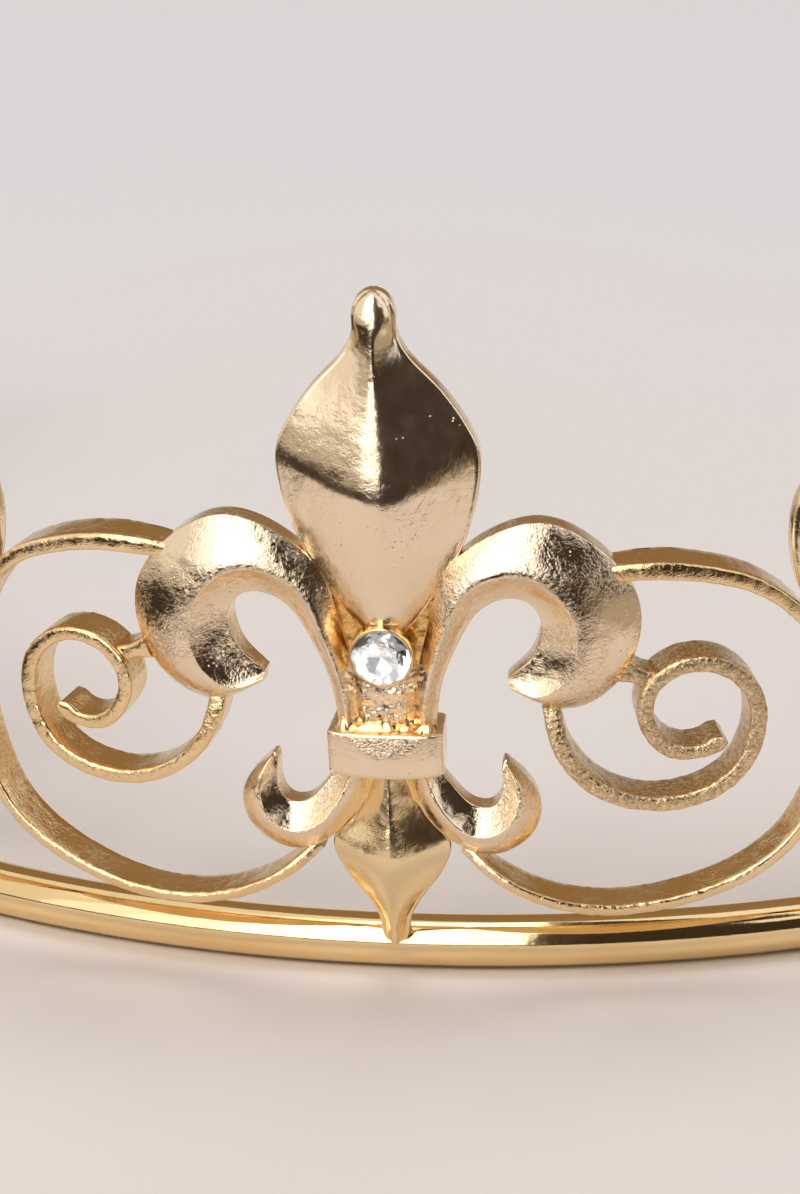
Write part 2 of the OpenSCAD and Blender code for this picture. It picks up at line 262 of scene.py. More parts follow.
# ---------------------------------------------------------------- shapes
def strip(rows, front=STRIP_FRONT, back=STRIP_BACK, chamfer=0.3, rough=0.03, seed=1, step=0.13,
          sink=(0, 0)):
    """Cast strip on edge: flat walls, chamfered and slightly crowned front, ends sunk by sink."""
    dense = spline(rows, 400)
    length = np.linalg.norm(np.diff(dense[:, :2], axis=0), axis=1).sum()
    p = spline(rows, max(12, int(length / step)))
    d = np.gradient(p[:, :2], axis=0)
    d /= np.linalg.norm(d, axis=1)[:, None]
    side = np.stack([-d[:, 1], d[:, 0]], 1)
    along = np.linspace(0, length, len(p))
    # how far the front sinks towards each end
    drop = sink[0] * np.clip(1 - along / SINK_LENGTH, 0, 1) ** 2
    drop = drop + sink[1] * np.clip(1 - (length - along) / SINK_LENGTH, 0, 1) ** 2
    # section: share of the half width, height; wall, chamfer, then the crowned front
    half = [(1, -back + 0.12), (1, -back * 0.4), (1, 0.1), (1, front * 0.5), (1, front - chamfer),
            (0.96, front - chamfer * 0.55), (0.86, front - chamfer * 0.2), (0.72, front - chamfer * 0.05),
            (0.5, front + 0.02), (0.25, front + 0.04)]
    section = half + [(-a, n) for a, n in half[::-1]] + [(a, -back) for a in (-0.86, -0.3, 0.3, 0.86)]
    fine, coarse = 0.42, 1.4
    rings = []
    for a, n in section:
        q = p[:, :2] + side * (a * p[:, 2] / 2)[:, None]
        s = np.stack([q[:, 0], q[:, 1], np.full(len(q), n * 1.0)], 1)
        wobble = noise(s, fine, seed) * rough + noise(s, coarse, seed + 3) * rough * 0.8
        grow = max(0.0, (n + back) / (front + back))
        out = n + wobble * grow - drop * (n > 0.5)
        rings.append(face(q[:, 0] + side[:, 0] * wobble * a, q[:, 1] + side[:, 1] * wobble * a, out))
    return outward(Shell().loft(np.swapaxes(np.array(rings), 0, 1)))


def crescent(rows, rise, back=PETAL_BACK, count=150, rough=0.02, seed=5, dome=0.8):
    """Petal or curl: a ridge, a hollow inner flank with a rounded edge, and a domed outer flank."""
    p = spline(rows, count, key=lambda r: (r[:, :2] + r[:, 2:4]) / 2)
    outer, inner = p[:, :2], p[:, 2:4]
    width = np.linalg.norm(outer - inner, axis=1)
    ridge, top = p[:, 4], rise * p[:, 5]
    low_outer, low_inner = 0.36 * top, 0.43 * top
    none = 0 * ridge
    edge = 0.16
    # section: share of the way from the inner edge to the outer, height
    cols = [(none, -back + none), (none, -back * 0.3 + none)]
    # rounded inner edge, then the hollow inner flank
    for t in np.radians([0, 30, 60, 90]):
        cols.append((edge * (1 - math.cos(t)) / width, low_inner - edge * (1 - math.sin(t))))
    for q in (0.15, 0.3, 0.45, 0.6, 0.75, 0.87, 0.95):
        x = edge / width + (ridge - edge / width) * q
        cols.append((x, low_inner + (top - low_inner) * (q - 0.10 * math.sin(math.pi * q))))
    # softened ridge, then the domed outer flank
    cols.append((ridge - 0.05 / width, top - 0.035))
    cols.append((ridge + 0.02 / width, top - 0.012))
    for q in np.linspace(0.06, 1, 20):
        x = ridge + (1 - ridge) * math.sin(q * math.pi / 2) ** 0.9
        y = (x - ridge) / (1 - ridge)
        straight = 1 - (np.sqrt(y * y + 0.07) - 0.265) / 0.77
        domed = np.clip(1 - y * y, 0, 1) ** dome
        cols.append((x, low_outer + (top - low_outer) * (0.65 * straight + 0.35 * domed)))
    # outer wall and back
    cols.append((1 + none, low_outer - 0.25))
    cols.append((1 + none, -back * 0.3 + none))
    cols.append((1 + none, -back + 0.1 + none))
    cols.append((1 - 0.1 / width, -back + none))
    for q in (0.75, 0.5, 0.25):
        cols.append((q + none, -back + none))
    fine, coarse = 0.5, 2.2
    rings = []
    for x, n in cols:
        q = inner + (outer - inner) * np.asarray(x)[:, None]
        s = np.stack([q[:, 0], q[:, 1], n], 1)
        wobble = noise(s, fine, seed) * rough + noise(s, coarse, seed + 2) * rough * 2.5
        wobble = wobble * (n > 0)
        rings.append(face(q[:, 0], q[:, 1], n + wobble))
    return outward(Shell().loft(np.swapaxes(np.array(rings), 0, 1)))


def split_column(rows, col, kink, index):
    """A column along the rows with a crease at one row."""
    r = np.asarray(rows, float)
    t = np.arange(len(r), dtype=float)
    out = np.empty(len(index))
    for part, keep in ((index <= kink, slice(0, kink + 1)), (index >= kink, slice(kink, None))):
        tt, yy = t[keep], r[keep, col]
        pts = np.stack([tt, 0 * tt, yy], 1)
        fine = spline(pts, 600)
        out[part] = np.interp(index[part], fine[:, 0], fine[:, 2])
    return out


ROUND = 0.2                        # ridge rounding as a share of the half width


def facet_leaf(rows, kink, rise, back, rim_share=0.26, ball_from=None, count=240, dip=0.10, seed=9,
               soften=0.2):
    """Leaf of four facets: a ridge up the middle, a crease across at row kink, a ball at the tip
    from row ball_from on."""
    r = np.asarray(rows, float)
    index = np.linspace(0, len(r) - 1, count)
    t = np.arange(len(r), dtype=float)
    fine = spline(np.concatenate([t[:, None], 0 * t[:, None], r], 1), 1200)
    h, low, mid = (np.interp(index, fine[:, 0], fine[:, 2 + k]) for k in range(3))
    share = split_column(rows, 3, kink, index)
    reach = 12                      # rows each side over which the crease is softened
    blur = np.exp(-0.5 * (np.arange(-reach, reach + 1) * (len(r) - 1) / count / soften) ** 2)
    padded = np.pad(share, reach, mode="reflect", reflect_type="odd")
    share = np.convolve(padded, blur / blur.sum(), mode="valid")
    top = rise * share
    rim = rim_share * rise * share
    ball_span = 1.9
    ball = np.zeros(count) if ball_from is None else smooth_step((index - ball_from) / ball_span)
    edge = 0.3
    inner = np.maximum(h - edge, h * 0.55)
    # half section, from the ridge to the rim: across, height on the leaf, thickness
    cols = []
    for q in np.concatenate([[0, 0.012, 0.03, 0.06], np.linspace(0.1, 0.94, 18), [0.97, 1.0]]):
        soft = (math.sqrt(q * q + ROUND**2) - ROUND) / (math.sqrt(1 + ROUND**2) - ROUND)
        ridge = 1 - soft - dip * soft * (1 - soft)
        domed = np.sqrt(np.clip(1 - (q * 0.9) ** 2, 0, 1))
        n = rim + (top - rim) * (ridge * (1 - ball) + domed * ball)
        cols.append((inner * q, mid + (low - mid) * soft, n))
    # rounded rim, wall and back
    for t in np.radians([18, 36, 54, 72, 90]):
        cols.append((inner + (h - inner) * math.sin(t), low, rim - (h - inner) * (1 - math.cos(t))))
    cols.append((h, low, 0 * h - back * 0.3))
    cols.append((h, low, 0 * h - back + 0.1))
    cols.append((h * 0.97, low, 0 * h - back))
    cols.append((h * 0.5, (low + mid) / 2, 0 * h - back))
    left = [(-x, v, n) for x, v, n in cols[::-1]]
    section = left[:-1] + cols + [(0 * h, mid, 0 * h - back)]
    rings = []
    for x, v, n in section:
        s = np.stack([x, v, n], 1)
        wobble = (noise(s, 3.1, seed) * 0.02 + noise(s, 0.9, seed + 1) * 0.006) * (n > 0.1)
        rings.append(face(x, v, n + wobble))
    return outward(Shell().loft(np.swapaxes(np.array(rings), 0, 1)))


def plate(rows, front, back, rough, seed, sink=0.12, bead=0.0):
    """Flat web between the strands, with a rough face and a rough bead along each side.
    rows: up, width."""
    bead_at, bead_width = 1.45, 0.2
    p = spline([[0, up, wide] for up, wide in rows], 90)
    cols = []
    for a in np.linspace(-1, 1, 61):
        x = a * p[:, 2] / 2
        s = np.stack([x, p[:, 1], 0 * x], 1)
        n = front - sink * a**4 + noise(s, 0.28, seed) * rough * 0.6 + noise(s, 0.6, seed + 1) * rough
        shape = np.exp(-(((np.abs(x) - bead_at) / bead_width) ** 2))
        n = n + bead * shape * (0.6 + 0.8 * noise(s, 0.5, seed + 2))
        cols.append(face(x, p[:, 1], n))
    cols.append(face(p[:, 2] / 2, p[:, 1], -back))
    cols.append(face(-p[:, 2] / 2, p[:, 1], -back))
    return outward(Shell().loft(np.swapaxes(np.array(cols), 0, 1)))


def fleur_parts():
    """One fleur as four skins: the leaf, the foot leaf, the grainy casting and the web."""
    leaf = facet_leaf(LEAF, 5, LEAF_RISE, PETAL_BACK, ball_from=9.2)
    foot = facet_leaf(FOOT, 5, FOOT_RISE, FOOT_BACK, seed=21)
    grain = Shell()
    petal = crescent(PETAL, PETAL_RISE, seed=31)
    curl = crescent(CURL, CURL_RISE, seed=41, rough=0.03)
    grain.add(petal).add(petal.mirrored()).add(curl).add(curl.mirrored())
    outline = [(9, 6.4), (13, 8.4), (16.5, 5.6), (21, 5.4), (26, 6.4), (31, 8)]
    web = plate(outline, 0.5, -0.1, 0.05, 51)
    grain.add(plate(outline, 0.2, 0.7, 0.02, 52))
    stem = [(17.5, 4.0), (21, 4.0), (23.5, 4.2), (26, 4.6)]
    grain.add(plate(stem, 1.45, 0.5, 0.11, 57, sink=0.7, bead=0.3))
    return leaf, foot, grain, web


COLLAR_HALF, COLLAR_DEPTH, COLLAR_BOW, COLLAR_CORNER = 4.05, 1.4, 0.72, 0.35


def collar_outline():
    """Plan of the collar: bowed front, round corners, flat back."""
    flat = COLLAR_HALF - COLLAR_CORNER
    front_corner = arc(flat, 2.0, COLLAR_CORNER, 60, 0, 6)
    back_corner = arc(flat, -COLLAR_DEPTH + COLLAR_CORNER, COLLAR_CORNER, 0, -90, 6)
    outline = [(x, 3.1 - COLLAR_BOW * (x / COLLAR_HALF) ** 2) for x in np.linspace(-flat, flat, 41)]
    outline += front_corner + [(COLLAR_HALF, n) for n in (1.2, 0.2, -0.9)] + back_corner
    outline += [(x, -COLLAR_DEPTH) for x in (2.4, 0, -2.4)]
    outline += [(-x, n) for x, n in back_corner[::-1]]
    outline += [(-COLLAR_HALF, n) for n in (-0.9, 0.2, 1.2)] + [(-x, n) for x, n in front_corner[::-1]]
    return np.array(outline)


def collar_shell():
    """Ring of metal round the stems, its front rolled back to a lip at the top."""
    outer = collar_outline()
    base, rim, crest, slope, lip = 17.75, 21.15, 2.75, 0.19, 0.14
    rings = []

    def ring(shrink, depth, level):
        """Section of the wall: the outline shrunk, its front held behind a sloping face."""
        x = np.sign(outer[:, 0]) * np.maximum(np.abs(outer[:, 0]) - shrink, 0)
        n = np.minimum(outer[:, 1], crest + max(0.0, rim - level) * slope)
        n = np.where(n > 0, np.maximum(n - depth, 0), np.minimum(n + depth, 0))
        s = np.stack([outer[:, 0], level + 0 * x, n], 1)
        w = noise(s, 0.5, 61) * 0.02 + noise(s, 1.6, 62) * 0.035
        rings.append(face(x * (1 + w * 0.1), level, n + w))

    ring(1.0, 0.45, base)
    ring(0.06, 0.08, base)
    ring(0, 0, base + 0.15)
    for level in np.linspace(base + 0.35, rim - lip, 24):
        ring(0, 0, level)
    for t in np.radians([30, 60, 90]):
        ring(0.3 * (1 - math.cos(t)), lip * (1 - math.cos(t)), rim - lip * (1 - math.sin(t)))
    for shrink, depth, below in ((0.65, 0.3, 0.02), (0.9, 0.42, 0.12), (1.0, 0.45, 0.3), (1.0, 0.45, 1.6)):
        ring(shrink, depth, rim - below)
    return outward(Shell().loft(np.array(rings), closed=True))


def fill_shell():
    """Metal that ran into the top of the collar round the stems: a groove, then lumps."""
    half, bottom, level, lump_from, back = 3.4, 19.4, 20.2, 1.68, -0.95
    x = np.linspace(-half, half, 75)
    cols = []
    front = 2.38 - COLLAR_BOW * (x / COLLAR_HALF) ** 2
    for q in np.linspace(0, 1, 40):
        n = front + (back - front) * q
        start = lump_from + 0.2 * noise(np.stack([x, 0 * x, 0 * x], 1), 0.9, 63)
        rise = 1 / (1 + np.exp((n - start) * 6))
        lumps = 0.8 + 0.5 * noise(np.stack([x, 0 * x + 7, n], 1), 0.65, 64)
        p = np.stack([x, 0 * x, n], 1)
        v = 20.93 + 0.75 * rise * lumps + 0.2 * np.clip(1.2 - n, 0, 1.5) + noise(p, 0.4, 65) * 0.07
        ends = np.clip((half + 0.05 - np.abs(x)) / 0.25, 0, 1)
        cols.append(face(x, level + (v - level) * ends, n))
    cols.append(face(x, bottom + 0 * x, 0 * x + back))
    cols.append(face(x, bottom + 0 * x, front))
    return outward(Shell().loft(np.swapaxes(np.array(cols), 0, 1)))


def on_face(up, out, local):
    """Local points (right, up, out) on the leaning face."""
    c, s = math.cos(LEAN), math.sin(LEAN)
    o = face(0, up, out)
    x, y, z = local[..., 0], local[..., 1], local[..., 2]
    return np.stack([o[0] + x, o[1] - z * c + y * -s, o[2] - z * s + y * c], -1)


def revolve(profile, up, out, count=96):
    """Closed ring of revolution about the face normal: profile of (radius, height)."""
    a = np.linspace(0, 2 * math.pi, count, endpoint=False)
    r, height = np.array(profile, float).T
    rings = np.stack([np.cos(a)[:, None] * r, np.sin(a)[:, None] * r, 0 * a[:, None] + height], -1)
    return outward(Shell().loft(on_face(up, out, rings), closed=True))


GEM_UP, CUP_OUT, GEM_OUT, CUP_R, GEM_R, TABLE_R, GEM_SIDES = 27.3, 1.2, 1.3, 2.4, 2.2, 1.12, 8


def cup_shell():
    """Setting of the stone: a shallow cup with a rolled lip."""
    profile = [(0.25, 0), (CUP_R - 0.2, 0), (CUP_R, 0.2), (CUP_R, 1.2), (CUP_R - 0.03, 1.36),
               (CUP_R - 0.1, 1.42), (CUP_R - 0.17, 1.36), (CUP_R - 0.18, 1.2), (CUP_R - 0.24, 0.5),
               (0.25, 0.35)]
    return revolve(profile, GEM_UP, CUP_OUT)


def gem_shell():
    """Faceted stone: table, star and kite facets above a girdle, and a pavilion."""
    pts, faces = [], []

    def ring_points(r, z, count, shift):
        k = len(pts)
        for i in range(count):
            a = 2 * math.pi * (i + shift) / count
            pts.append((r * math.cos(a), r * math.sin(a), z))
        return list(range(k, k + count))

    around_girdle = 2 * GEM_SIDES
    table = ring_points(TABLE_R, 2.0, GEM_SIDES, 0)
    star = ring_points(1.66, 1.76, GEM_SIDES, 0.5)
    kite = ring_points(GEM_R, 1.38, around_girdle, 0)
    girdle = ring_points(GEM_R, 1.26, around_girdle, 0)
    pavilion = ring_points(1.05, 0.78, GEM_SIDES, 0.5)
    culet = len(pts)
    pts.append((0, 0, 0.52))
    faces.append(tuple(table))
    for i in range(GEM_SIDES):
        after = (2 * i + 2) % around_girdle
        faces.append((table[i], star[i], table[(i + 1) % GEM_SIDES]))
        faces.append((table[i], star[i - 1], kite[2 * i], star[i]))
        faces.append((star[i], kite[2 * i], kite[2 * i + 1]))
        faces.append((star[i], kite[2 * i + 1], kite[after]))
        faces.append((girdle[2 * i], pavilion[i - 1], pavilion[i]))
        faces.append((girdle[2 * i], pavilion[i], girdle[2 * i + 1]))
        faces.append((girdle[2 * i + 1], pavilion[i], girdle[after]))
        faces.append((pavilion[i - 1], culet, pavilion[i]))
    for i in range(around_girdle):
        j = (i + 1) % around_girdle
        faces.append((kite[i], girdle[i], girdle[j], kite[j]))
    s = Shell()
    s.v = [on_face(GEM_UP, GEM_OUT, np.array(pts))]
    s.f, s.n = faces, len(pts)
    return s


def foil_shell():
    """Mirror foil under the stone, in flat sides."""
    profile = [(0.02, 0.44), (1.0, 0.69), (2.1, 1.14), (2.1, 1.08), (1.0, 0.6), (0.02, 0.36)]
    return revolve(profile, GEM_UP, GEM_OUT, GEM_SIDES)


def band_shell():
    """Bent tube with the slight unevenness of the bending."""
    a = np.linspace(-BAND_HALF, BAND_HALF, 720)
    b = np.linspace(0, 2 * math.pi, 72, endpoint=False)
    r = BAND_R + TUBE_R * np.cos(b)[None, :]
    level = TUBE_R + TUBE_R * np.sin(b)[None, :] + 0 * a[:, None]
    rings = np.stack([r * np.sin(a)[:, None], -r * np.cos(a)[:, None], level], -1)
    w = noise(rings, 6.0, 71) * 0.012 + noise(rings, 1.8, 72) * 0.002
    centre = np.stack([BAND_R * np.sin(a), -BAND_R * np.cos(a), TUBE_R + 0 * a], -1)[:, None, :]
    rings = centre + (rings - centre) * (1 - 0.006 + w[..., None] / TUBE_R * 0.5)
    return outward(Shell().loft(rings))


def end_shell(sign):
    """Flat eyelet on the end of the tube, its hole open."""
    eye, hole, thick, reach, count = 2.5, 1.0, 0.8, 3.7, 64
    s = Shell()
    a = np.linspace(0, 2 * math.pi, count, endpoint=False)
    section = [(hole + 0.12, -thick), (eye - 0.25, -thick), (eye, -thick + 0.25), (eye, thick - 0.25),
               (eye - 0.25, thick), (hole + 0.12, thick), (hole, thick - 0.12), (hole, -thick + 0.12)]
    rings = np.array([[(reach + r * math.cos(t), z, r * math.sin(t)) for r, z in section] for t in a])
    s.add(outward(Shell().loft(rings, closed=True)))
    # neck: along, half height, half thickness
    neck = []
    for x, w, h in ((0.35, 1.9, 1.9), (0.7, 1.85, 1.8), (1.1, 1.6, 1.25), (1.6, 1.35, 0.85),
                    (2.3, 1.25, 0.72)):
        neck.append([(x, h * math.cos(t), w * math.sin(t)) for t in a])
    s.add(outward(Shell().loft(np.array(neck))))
    # spigot and cap: along, radius
    cap = []
    for x, r in ((-3.9, 1.3), (-3.6, 1.48), (-0.02, 1.48), (0.0, 1.96), (0.25, 2.0), (0.5, 1.96),
                 (0.62, 1.8)):
        cap.append([(x, r * math.cos(t), r * math.sin(t)) for t in a])
    s.add(outward(Shell().loft(np.array(cap))))
    p = np.concatenate(s.v) + np.array([0, -BAND_R, TUBE_R])
    s.v = [turn(p, BAND_HALF)]
    return s if sign > 0 else s.mirrored()


def solder_shell(seed):
    """Small uneven bead behind and beside the foot leaf's tip."""
    up, out, radius, flatter = 4.15, -0.75, 0.95, 0.95
    lat = np.linspace(-math.pi / 2 + 0.05, math.pi / 2 - 0.05, 24)[:, None]
    lon = np.linspace(0, 2 * math.pi, 40, endpoint=False)
    d = np.stack([np.cos(lat) * np.cos(lon), np.cos(lat) * np.sin(lon), np.sin(lat) + 0 * lon], -1)
    r = radius + 0.08 * noise(d * 2.0, 0.9, seed)
    return outward(Shell().loft(face(0, up, out) + d * r[..., None] * np.array([1.0, 1.0, flatter])))


# ---------------------------------------------------------------- materials
def new_material(name):
    m = bpy.data.materials.new(name)
    m.use_nodes = True
    nt = m.node_tree
    nt.nodes.clear()
    out = nt.nodes.new("ShaderNodeOutputMaterial")
    bsdf = nt.nodes.new("ShaderNodeBsdfPrincipled")
    nt.links.new(bsdf.outputs[0], out.inputs[0])
    return m, nt, bsdf


def object_coordinates(nt):
    return nt.nodes.new("ShaderNodeTexCoord").outputs["Object"]


def along_axis(nt, coord, axis):
    axes = nt.nodes.new("ShaderNodeSeparateXYZ")
    nt.links.new(coord, axes.inputs[0])
    return axes.outputs[axis]


def ramp(nt, source, stops):
    """Colour ramp: stops of (place, colour)."""
    r = nt.nodes.new("ShaderNodeValToRGB")
    e = r.color_ramp.elements
    while len(e) < len(stops):
        e.new(0.5)
    for k, (pos, col) in zip(e, stops):
        k.position = pos
        k.color = (*col, 1)
    nt.links.new(source, r.inputs[0])
    return r


def tex(nt, kind, scale, vector, **values):
    t = nt.nodes.new(kind)
    nt.links.new(vector, t.inputs["Vector"])
    t.inputs["Scale"].default_value = scale
    for k, v in values.items():
        t.inputs[k].default_value = v
    return t


def math_node(nt, operation, first, second):
    k = nt.nodes.new("ShaderNodeMath")
    k.operation = operation
    for socket, value in zip(k.inputs, (first, second)):
        if isinstance(value, float):
            socket.default_value = value
        else:
            nt.links.new(value, socket)
    return k.outputs[0]


def spread(nt, source, low, high, to_low, to_high):
    """The source's range low to high stretched to another range."""
    r = nt.nodes.new("ShaderNodeMapRange")
    nt.links.new(source, r.inputs["Value"])
    for k, value in (("From Min", low), ("From Max", high), ("To Min", to_low), ("To Max", to_high)):
        r.inputs[k].default_value = value
    return r.outputs[0]


def bump(nt, height, distance, below=None):
    b = nt.nodes.new("ShaderNodeBump")
    b.inputs["Distance"].default_value = distance
    nt.links.new(height, b.inputs["Height"])
    if below is not None:
        nt.links.new(below, b.inputs["Normal"])
    return b.outputs[0]


# texture scales, in cells per metre
TONE_SCALE, DULL_SCALE, WAVE_SCALE, FIELD_SCALE, PIT_SCALE, PIT_FIELD_SCALE = 260, 900, 450, 330, 2400, 520


def gold(name, light, deep, rough, waves=0.0, grain=0.0, size=0.00028, patchy=0.6, pits=0.0, above=None,
         mottle=TONE_SCALE):
    """Plated metal, its tone mottled from light to deep. Heights in metres: waves about 2 mm long,
    grain of the given size, pits. above: the height range over which the grain comes in."""
    m, nt, bsdf = new_material(name)
    coord = object_coordinates(nt)
    bsdf.inputs["Metallic"].default_value = 1.0
    tone = tex(nt, "ShaderNodeTexNoise", mottle, coord, Detail=4.0, Roughness=0.6).outputs["Fac"]
    colour = ramp(nt, tone, [(0.32, deep), (0.68, light)])
    nt.links.new(colour.outputs[0], bsdf.inputs["Base Color"])
    dull = tex(nt, "ShaderNodeTexNoise", DULL_SCALE, coord, Detail=5.0, Roughness=0.65).outputs["Fac"]
    nt.links.new(spread(nt, dull, 0.3, 0.7, rough * 0.7, rough * 1.4), bsdf.inputs["Roughness"])
    normal = None
    if waves:
        swell = tex(nt, "ShaderNodeTexNoise", WAVE_SCALE, coord, Detail=2.0, Roughness=0.45).outputs["Fac"]
        normal = bump(nt, swell, waves, normal)
    if grain:
        field = tex(nt, "ShaderNodeTexNoise", FIELD_SCALE, coord, Detail=2.0, Roughness=0.5).outputs["Fac"]
        amount = spread(nt, field, 0.36, 0.62, 1 - patchy, 1.0)
        if above:
            fade = spread(nt, along_axis(nt, coord, "Z"), *above, 0.12, 1.0)
            amount = math_node(nt, "MULTIPLY", amount, fade)
        crumple = tex(nt, "ShaderNodeTexNoise", 1 / size, coord, Detail=3.0, Roughness=0.6, Distortion=1.2)
        normal = bump(nt, math_node(nt, "MULTIPLY", crumple.outputs["Fac"], amount), grain, normal)
    if pits:
        cells = tex(nt, "ShaderNodeTexVoronoi", PIT_SCALE, coord, Randomness=1.0).outputs["Distance"]
        where = tex(nt, "ShaderNodeTexNoise", PIT_FIELD_SCALE, coord, Detail=2.0).outputs["Fac"]
        hollow = math_node(nt, "MULTIPLY", spread(nt, cells, 0.06, 0.2, 1.0, 0.0),
                           spread(nt, where, 0.58, 0.62, 0.0, 1.0))
        normal = bump(nt, math_node(nt, "SUBTRACT", 1.0, hollow), pits, normal)
    if normal is not None:
        nt.links.new(normal, bsdf.inputs["Normal"])
    return m


def crystal_material():
    """Clear cut glass with faint scuffs."""
    m, nt, bsdf = new_material("crystal")
    bsdf.inputs["Transmission Weight"].default_value = 1.0
    bsdf.inputs["IOR"].default_value = 1.58
    scuff = tex(nt, "ShaderNodeTexNoise", 1500, object_coordinates(nt), Detail=3.0).outputs["Fac"]
    tint = ramp(nt, scuff, [(0.3, (0.97, 0.98, 1.0)), (0.7, (1, 1, 1))])
    nt.links.new(tint.outputs[0], bsdf.inputs["Base Color"])
    dull = ramp(nt, scuff, [(0.4, (0.0, 0.0, 0.0)), (0.8, (0.03, 0.03, 0.03))])
    nt.links.new(dull.outputs[0], bsdf.inputs["Roughness"])
    return m


def glowing_foil_material():
    """Mirror foil that sends light back up through the stone, with a faint white glow painted in by its
    emission.
    """
    m, nt, bsdf = new_material("glowing_foil")
    bsdf.inputs["Metallic"].default_value = 0.85
    bsdf.inputs["Roughness"].default_value = 0.16
    # painted glow: the foil gives off a faint white light of its own, though it is no lamp
    bsdf.inputs["Emission Color"].default_value = (1, 1, 1, 1)
    bsdf.inputs["Emission Strength"].default_value = 0.25
    mottle = tex(nt, "ShaderNodeTexNoise", 1800, object_coordinates(nt), Detail=3.0).outputs["Fac"]
    tint = ramp(nt, mottle, [(0.3, (0.95, 0.95, 0.96)), (0.7, (0.99, 0.99, 0.99))])
    nt.links.new(tint.outputs[0], bsdf.inputs["Base Color"])
    return m


LIGHT, DEEP = (0.97, 0.81, 0.605), (0.95, 0.765, 0.535)
polished = gold("gold_polished", LIGHT, DEEP, 0.16, waves=0.00008, grain=0.000025, size=0.0005, pits=0.00004)
tube_gold = gold("gold_tube", (0.96, 0.75, 0.43), (0.94, 0.71, 0.37), 0.08, waves=0.000015,
                 grain=0.000004, size=0.0006)
cast = gold("gold_cast", LIGHT, DEEP, 0.10, waves=0.00012, grain=0.00008, size=0.00034, patchy=0.8,
            pits=0.00004)
foot_gold = gold("gold_foot", (0.96, 0.78, 0.50), (0.93, 0.71, 0.40), 0.17, waves=0.00014, grain=0.00003,
                 size=0.0006, patchy=0.7, above=(0.0098, 0.0108))
clasp_gold = gold("gold_clasp", LIGHT, DEEP, 0.07, waves=0.00005, grain=0.00006, size=0.00024, patchy=0.3,
                  above=(0.0186, 0.0194))
strip_gold = gold("gold_strip", (0.97, 0.76, 0.46), (0.93, 0.66, 0.34), 0.12, waves=0.0001, grain=0.00006,
                  size=0.00034)
# painted shade: fine speckles of deep brown darken the right-hand spiral
spiral_gold_painted_shade = gold("gold_spiral_painted_shade", (0.98, 0.80, 0.51), (0.56, 0.38, 0.19), 0.09, waves=0.00008,
                    grain=0.00011, size=0.0003, patchy=0.3, mottle=3200)
# painted reflected glow: the web's deep orange paints light bounced around the crevices behind the strands
web_gold_painted_glow = gold("gold_web_painted_glow", (0.97, 0.66, 0.27), (0.93, 0.55, 0.18), 0.2, waves=0.0001, grain=0.00004,
                size=0.0004)
# painted reflected glow: the fill's deeper orange paints light bounced in the collar's groove
fill_gold_painted_glow = gold("gold_fill_painted_glow", (0.97, 0.76, 0.46), (0.94, 0.64, 0.30), 0.09, waves=0.00008, grain=0.00004,
                 size=0.0004)
setting_gold = gold("gold_setting", (0.95, 0.73, 0.42), (0.92, 0.66, 0.34), 0.12, grain=0.00003)
solder_gold = gold("gold_solder", (0.94, 0.70, 0.38), (0.90, 0.62, 0.32), 0.16, waves=0.00015, grain=0.00004)
crystal, glowing_foil = crystal_material(), glowing_foil_material()


# ---------------------------------------------------------------- pieces
leaf, foot, grain, web = fleur_parts()
collar, fill = collar_shell(), fill_shell()
cup, gem, foil_cup = cup_shell(), gem_shell(), foil_shell()
SCROLL_SINK, SPIRAL_SINK, STUB_FRONT, STUB_BACK = (0.9, 1.3), (0.8, 0), 1.5, 0.8
scroll_r = strip(SCROLL_RIGHT, seed=3, sink=SCROLL_SINK)
scroll_l = strip(SCROLL_LEFT, seed=4, sink=SCROLL_SINK).mirrored()
spiral_r = strip(SPIRAL_RIGHT, seed=6, rough=0.035, sink=SPIRAL_SINK)
spiral_r.add(strip(STUB_RIGHT, front=STUB_FRONT, back=STUB_BACK, seed=8))
spiral_l = strip(SPIRAL_LEFT, seed=7, rough=0.035, sink=SPIRAL_SINK)
spiral_l.add(strip(STUB_LEFT, front=STUB_FRONT, back=STUB_BACK, seed=9))
spiral_l = spiral_l.mirrored()
bud = facet_leaf(BUD, 4, BUD_RISE, PETAL_BACK, ball_from=6.2, count=140, seed=15)

for place, i in STATIONS.items():
    a = i * PITCH
    build("fleur_leaves_" + place, leaf, polished, ["fleur_" + place], a)
    build("fleur_petals_" + place, grain, cast, ["fleur_" + place], a)
    build("fleur_foot_" + place, foot, foot_gold, ["fleur_" + place], a)
    build("fleur_web_" + place, web, web_gold_painted_glow, ["fleur_" + place], a)
    build("clasp_" + place, collar, clasp_gold, ["collar_" + place], a)
    build("clasp_fill_" + place, fill, fill_gold_painted_glow, ["collar_" + place], a)
    build("setting_" + place, cup, setting_gold, ["stone_cup_" + place], a)
    build("gem_" + place, gem, crystal, ["stone_" + place], a, sharp=FACETED)
    build("gem_foil_" + place, foil_cup, glowing_foil, ["stone_" + place], a, sharp=FACETED)
    # the right-hand spiral (b) takes the gold with painted shade, the left one (a) the plain strip gold
    for side, scroll, spiral, spiral_material in (("a", scroll_l, spiral_l, strip_gold),
                                         ("b", scroll_r, spiral_r, spiral_gold_painted_shade)):
        tag = "%s_%s" % (place, side)
        build("scroll_strip_" + tag, scroll, strip_gold, ["scroll_" + tag], a)
        build("spiral_strip_" + tag, spiral, spiral_material, ["spiral_" + tag], a)
for place, i in (("front_left", -0.5), ("front_right", 0.5), ("side_left", -1.5), ("side_right", 1.5)):
    build("small_leaf_" + place, bud, polished, ["bud_" + place], i * PITCH)

